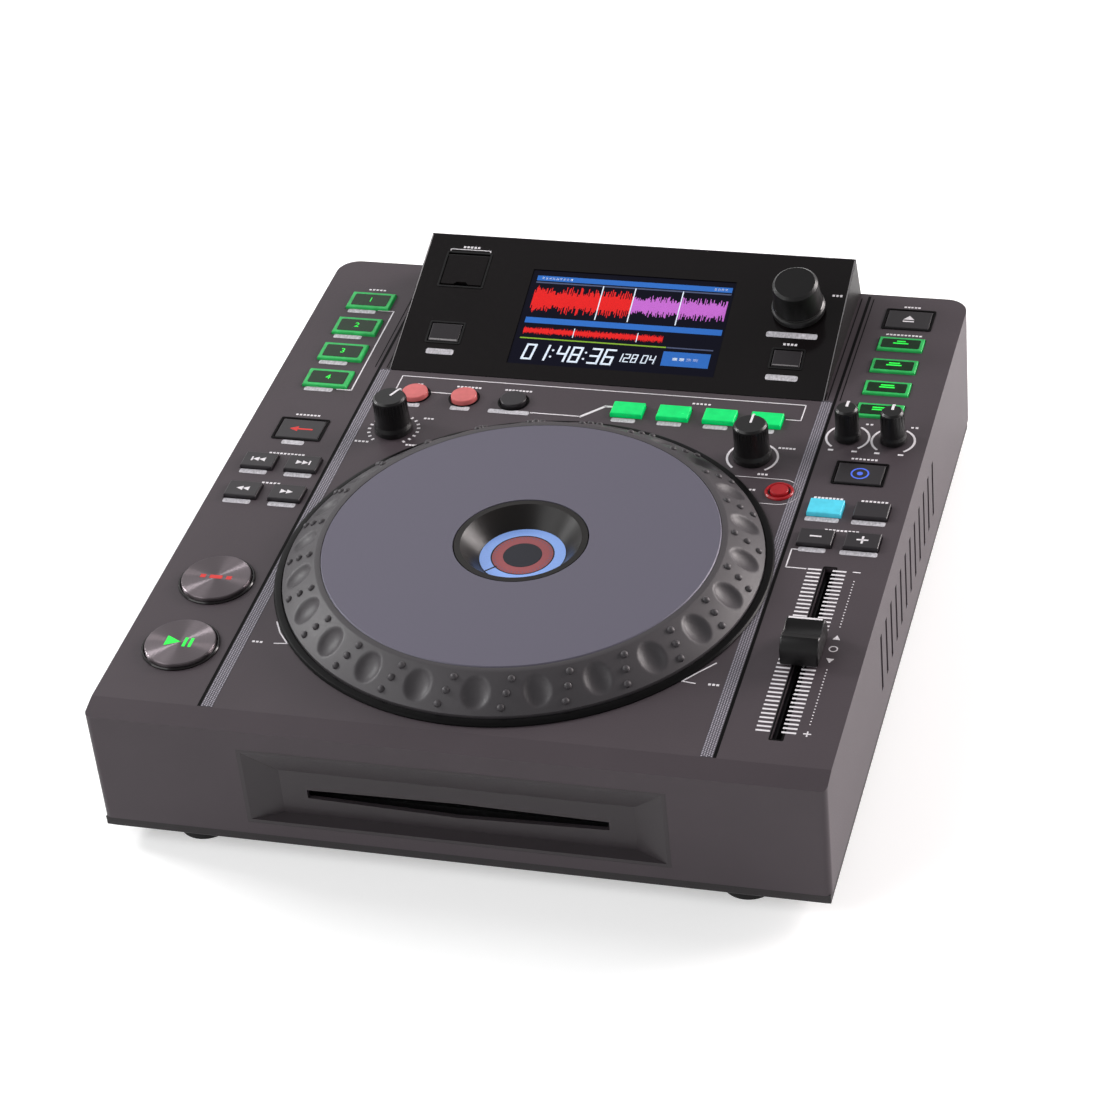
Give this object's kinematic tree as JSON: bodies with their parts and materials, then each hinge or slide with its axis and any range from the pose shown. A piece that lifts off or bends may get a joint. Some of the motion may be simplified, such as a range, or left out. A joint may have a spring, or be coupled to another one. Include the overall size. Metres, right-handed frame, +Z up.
{
  "type": "tabletop dj media player",
  "caption": "Tabletop disc and media player with a front disc slot, a large jog wheel, a tilted screen, a pitch fader, knobs and lit push buttons.",
  "frame": {"origin": "on the surface it stands on, under the middle of the whole outline", "axes": "+Z up, +Y from the front with the disc slot to the back with the sockets, +X to the right of a person at the front"},
  "size_m": [0.305, 0.3524, 0.1074],
  "materials": {
    "case_plastic": "fine spark texture, satin",
    "gloss_black": "polished",
    "rubber_black": "soft touch",
    "jog_grey": "satin paint, fine grain",
    "button_dark": "satin",
    "button_green": "lit translucent green",
    "button_red": "lit translucent red",
    "button_blue": "lit translucent blue",
    "spun_metal": "dark spun metal",
    "knob_black": "soft satin",
    "screen": "display glass",
    "steel": "zinc plated",
    "board_green": "solder resist"
  },
  "bodies": {
    "casing": {"upper_case": "case_plastic", "lower_case": "case_plastic", "slot_bezel": "case_plastic", "display_bezel": "gloss_black", "lcd_module": "screen", "jog_display": "gloss_black", "fader_track": "button_dark", "usb_socket": "steel", "disc_drive": "steel", "main_board": "board_green", "power_supply": "board_green", "control_boards": "board_green", "rear_sockets": "gloss_black", "mains_inlet": "gloss_black", "case_screws": "steel", "feet": "rubber_black"},
    "hot_cue_button_1": {"hot_cue_button_1": "button_dark"},
    "hot_cue_button_2": {"hot_cue_button_2": "button_dark"},
    "hot_cue_button_3": {"hot_cue_button_3": "button_dark"},
    "hot_cue_button_4": {"hot_cue_button_4": "button_dark"},
    "reverse_button": {"reverse_button": "button_dark"},
    "track_back_button": {"track_back_button": "button_dark"},
    "track_forward_button": {"track_forward_button": "button_dark"},
    "search_back_button": {"search_back_button": "button_dark"},
    "search_forward_button": {"search_forward_button": "button_dark"},
    "cue_button": {"cue_button": "spun_metal"},
    "play_button": {"play_button": "spun_metal"},
    "eject_button": {"eject_button": "button_dark"},
    "source_button_1": {"source_button_1": "button_dark"},
    "source_button_2": {"source_button_2": "button_dark"},
    "source_button_3": {"source_button_3": "button_dark"},
    "source_button_4": {"source_button_4": "button_dark"},
    "jog_mode_button": {"jog_mode_button": "button_dark"},
    "key_lock_button": {"key_lock_button": "button_blue"},
    "tap_button": {"tap_button": "button_dark"},
    "bend_down_button": {"bend_down_button": "button_dark"},
    "bend_up_button": {"bend_up_button": "button_dark"},
    "loop_in_button": {"loop_in_button": "button_red"},
    "loop_out_button": {"loop_out_button": "button_red"},
    "reloop_button": {"reloop_button": "button_dark"},
    "auto_loop_button_1": {"auto_loop_button_1": "button_green"},
    "auto_loop_button_2": {"auto_loop_button_2": "button_green"},
    "auto_loop_button_3": {"auto_loop_button_3": "button_green"},
    "auto_loop_button_4": {"auto_loop_button_4": "button_green"},
    "slip_button": {"slip_button": "button_red"},
    "shift_button": {"shift_button": "button_dark"},
    "back_button": {"back_button": "button_dark"},
    "touch_knob": {"touch_knob": "knob_black"},
    "filter_knob": {"filter_knob": "knob_black"},
    "trim_knob_inner": {"trim_knob_inner": "knob_black"},
    "trim_knob_outer": {"trim_knob_outer": "knob_black"},
    "browse_shaft": {"browse_shaft": "steel"},
    "browse_knob": {"browse_knob": "knob_black"},
    "fader_cap": {"fader_cap": "knob_black"},
    "usb_flap": {"usb_flap": "gloss_black"},
    "power_rocker": {"power_rocker": "gloss_black"},
    "jog_wheel": {"jog_rim": "rubber_black", "jog_plate": "jog_grey"},
    "disc_spindle": {"disc_spindle": "button_dark"},
    "loading_roller": {"loading_roller": "rubber_black"}
  },
  "joints": [
    {"name": "hot_cue_button_1_press", "type": "slide", "parent": "casing", "child": "hot_cue_button_1", "axis": [0, -0.0135, 0.9999], "range_m": [-0.0008, 0], "stiffness_N_per_m": 400, "springref_m": 0.0004},
    {"name": "hot_cue_button_2_press", "type": "slide", "parent": "casing", "child": "hot_cue_button_2", "axis": [0, -0.0135, 0.9999], "range_m": [-0.0008, 0], "stiffness_N_per_m": 400, "springref_m": 0.0004},
    {"name": "hot_cue_button_3_press", "type": "slide", "parent": "casing", "child": "hot_cue_button_3", "axis": [0, -0.0135, 0.9999], "range_m": [-0.0008, 0], "stiffness_N_per_m": 400, "springref_m": 0.0004},
    {"name": "hot_cue_button_4_press", "type": "slide", "parent": "casing", "child": "hot_cue_button_4", "axis": [0, -0.0135, 0.9999], "range_m": [-0.0008, 0], "stiffness_N_per_m": 400, "springref_m": 0.0004},
    {"name": "reverse_button_press", "type": "slide", "parent": "casing", "child": "reverse_button", "axis": [0, -0.0135, 0.9999], "range_m": [-0.0008, 0], "stiffness_N_per_m": 400, "springref_m": 0.0004},
    {"name": "track_back_button_press", "type": "slide", "parent": "casing", "child": "track_back_button", "axis": [0, -0.0135, 0.9999], "range_m": [-0.0008, 0], "stiffness_N_per_m": 400, "springref_m": 0.0004},
    {"name": "track_forward_button_press", "type": "slide", "parent": "casing", "child": "track_forward_button", "axis": [0, -0.0135, 0.9999], "range_m": [-0.0008, 0], "stiffness_N_per_m": 400, "springref_m": 0.0004},
    {"name": "search_back_button_press", "type": "slide", "parent": "casing", "child": "search_back_button", "axis": [0, -0.0135, 0.9999], "range_m": [-0.0008, 0], "stiffness_N_per_m": 400, "springref_m": 0.0004},
    {"name": "search_forward_button_press", "type": "slide", "parent": "casing", "child": "search_forward_button", "axis": [0, -0.0135, 0.9999], "range_m": [-0.0008, 0], "stiffness_N_per_m": 400, "springref_m": 0.0004},
    {"name": "cue_button_press", "type": "slide", "parent": "casing", "child": "cue_button", "axis": [0, -0.0135, 0.9999], "range_m": [-0.0008, 0], "stiffness_N_per_m": 400, "springref_m": 0.0004},
    {"name": "play_button_press", "type": "slide", "parent": "casing", "child": "play_button", "axis": [0, -0.0135, 0.9999], "range_m": [-0.0008, 0], "stiffness_N_per_m": 400, "springref_m": 0.0004},
    {"name": "eject_button_press", "type": "slide", "parent": "casing", "child": "eject_button", "axis": [0, -0.0135, 0.9999], "range_m": [-0.0008, 0], "stiffness_N_per_m": 400, "springref_m": 0.0004},
    {"name": "source_button_1_press", "type": "slide", "parent": "casing", "child": "source_button_1", "axis": [0, -0.0135, 0.9999], "range_m": [-0.0008, 0], "stiffness_N_per_m": 400, "springref_m": 0.0004},
    {"name": "source_button_2_press", "type": "slide", "parent": "casing", "child": "source_button_2", "axis": [0, -0.0135, 0.9999], "range_m": [-0.0008, 0], "stiffness_N_per_m": 400, "springref_m": 0.0004},
    {"name": "source_button_3_press", "type": "slide", "parent": "casing", "child": "source_button_3", "axis": [0, -0.0135, 0.9999], "range_m": [-0.0008, 0], "stiffness_N_per_m": 400, "springref_m": 0.0004},
    {"name": "source_button_4_press", "type": "slide", "parent": "casing", "child": "source_button_4", "axis": [0, -0.0135, 0.9999], "range_m": [-0.0008, 0], "stiffness_N_per_m": 400, "springref_m": 0.0004},
    {"name": "jog_mode_button_press", "type": "slide", "parent": "casing", "child": "jog_mode_button", "axis": [0, -0.0135, 0.9999], "range_m": [-0.0008, 0], "stiffness_N_per_m": 400, "springref_m": 0.0004},
    {"name": "key_lock_button_press", "type": "slide", "parent": "casing", "child": "key_lock_button", "axis": [0, -0.0135, 0.9999], "range_m": [-0.0008, 0], "stiffness_N_per_m": 400, "springref_m": 0.0004},
    {"name": "tap_button_press", "type": "slide", "parent": "casing", "child": "tap_button", "axis": [0, -0.0135, 0.9999], "range_m": [-0.0008, 0], "stiffness_N_per_m": 400, "springref_m": 0.0004},
    {"name": "bend_down_button_press", "type": "slide", "parent": "casing", "child": "bend_down_button", "axis": [0, -0.0135, 0.9999], "range_m": [-0.0008, 0], "stiffness_N_per_m": 400, "springref_m": 0.0004},
    {"name": "bend_up_button_press", "type": "slide", "parent": "casing", "child": "bend_up_button", "axis": [0, -0.0135, 0.9999], "range_m": [-0.0008, 0], "stiffness_N_per_m": 400, "springref_m": 0.0004},
    {"name": "loop_in_button_press", "type": "slide", "parent": "casing", "child": "loop_in_button", "axis": [0, -0.0135, 0.9999], "range_m": [-0.0008, 0], "stiffness_N_per_m": 400, "springref_m": 0.0004},
    {"name": "loop_out_button_press", "type": "slide", "parent": "casing", "child": "loop_out_button", "axis": [0, -0.0135, 0.9999], "range_m": [-0.0008, 0], "stiffness_N_per_m": 400, "springref_m": 0.0004},
    {"name": "reloop_button_press", "type": "slide", "parent": "casing", "child": "reloop_button", "axis": [0, -0.0135, 0.9999], "range_m": [-0.0008, 0], "stiffness_N_per_m": 400, "springref_m": 0.0004},
    {"name": "auto_loop_button_1_press", "type": "slide", "parent": "casing", "child": "auto_loop_button_1", "axis": [0, -0.0135, 0.9999], "range_m": [-0.0008, 0], "stiffness_N_per_m": 400, "springref_m": 0.0004},
    {"name": "auto_loop_button_2_press", "type": "slide", "parent": "casing", "child": "auto_loop_button_2", "axis": [0, -0.0135, 0.9999], "range_m": [-0.0008, 0], "stiffness_N_per_m": 400, "springref_m": 0.0004},
    {"name": "auto_loop_button_3_press", "type": "slide", "parent": "casing", "child": "auto_loop_button_3", "axis": [0, -0.0135, 0.9999], "range_m": [-0.0008, 0], "stiffness_N_per_m": 400, "springref_m": 0.0004},
    {"name": "auto_loop_button_4_press", "type": "slide", "parent": "casing", "child": "auto_loop_button_4", "axis": [0, -0.0135, 0.9999], "range_m": [-0.0008, 0], "stiffness_N_per_m": 400, "springref_m": 0.0004},
    {"name": "slip_button_press", "type": "slide", "parent": "casing", "child": "slip_button", "axis": [0, -0.0135, 0.9999], "range_m": [-0.0008, 0], "stiffness_N_per_m": 400, "springref_m": 0.0004},
    {"name": "shift_button_press", "type": "slide", "parent": "casing", "child": "shift_button", "axis": [0, -0.2952, 0.9554], "range_m": [-0.0008, 0], "stiffness_N_per_m": 400, "springref_m": 0.0004},
    {"name": "back_button_press", "type": "slide", "parent": "casing", "child": "back_button", "axis": [0, -0.2952, 0.9554], "range_m": [-0.0008, 0], "stiffness_N_per_m": 400, "springref_m": 0.0004},
    {"name": "touch_knob_turn", "type": "hinge", "parent": "casing", "child": "touch_knob", "pos_m": [-0.085, 0.03315, 0.07067], "axis": [0, -0.0135, 0.9999], "range_deg": [-140, 140]},
    {"name": "filter_knob_turn", "type": "hinge", "parent": "casing", "child": "filter_knob", "pos_m": [0.079, 0.03315, 0.07067], "axis": [0, -0.0135, 0.9999], "range_deg": [-140, 140]},
    {"name": "trim_knob_inner_turn", "type": "hinge", "parent": "casing", "child": "trim_knob_inner", "pos_m": [0.1173, 0.05335, 0.07095], "axis": [0, -0.0135, 0.9999], "range_deg": [-140, 140]},
    {"name": "trim_knob_outer_turn", "type": "hinge", "parent": "casing", "child": "trim_knob_outer", "pos_m": [0.1374, 0.05335, 0.07095], "axis": [0, -0.0135, 0.9999], "range_deg": [-140, 140]},
    {"name": "browse_push", "type": "slide", "parent": "casing", "child": "browse_shaft", "axis": [0, -0.2952, 0.9554], "range_m": [-0.0006, 0], "stiffness_N_per_m": 800, "springref_m": 0.0004},
    {"name": "browse_turn", "type": "hinge", "parent": "browse_shaft", "child": "browse_knob", "pos_m": [0.081, 0.12905, 0.08653], "axis": [0, -0.2952, 0.9554], "continuous": true},
    {"name": "fader_slide", "type": "slide", "parent": "casing", "child": "fader_cap", "axis": [0, 0.9999, 0.0135], "range_m": [-0.05, 0.05]},
    {"name": "usb_flap_lift", "type": "hinge", "parent": "casing", "child": "usb_flap", "pos_m": [-0.0806, 0.1483, 0.09164], "axis": [-1, 0, 0], "range_deg": [0, 100]},
    {"name": "power_rocker_tilt", "type": "hinge", "parent": "casing", "child": "power_rocker", "pos_m": [-0.084, 0.16375, 0.032], "axis": [1, 0, 0], "range_deg": [-8, 8]},
    {"name": "jog_turn", "type": "hinge", "parent": "casing", "child": "jog_wheel", "pos_m": [0, -0.05645, 0.06947], "axis": [0, -0.0135, 0.9999], "continuous": true},
    {"name": "disc_spin", "type": "hinge", "parent": "casing", "child": "disc_spindle", "pos_m": [0, -0.08025, 0.025], "axis": [0, 0, 1], "continuous": true},
    {"name": "roller_spin", "type": "hinge", "parent": "casing", "child": "loading_roller", "pos_m": [0, -0.15025, 0.0262], "axis": [1, 0, 0], "continuous": true}
  ]
}
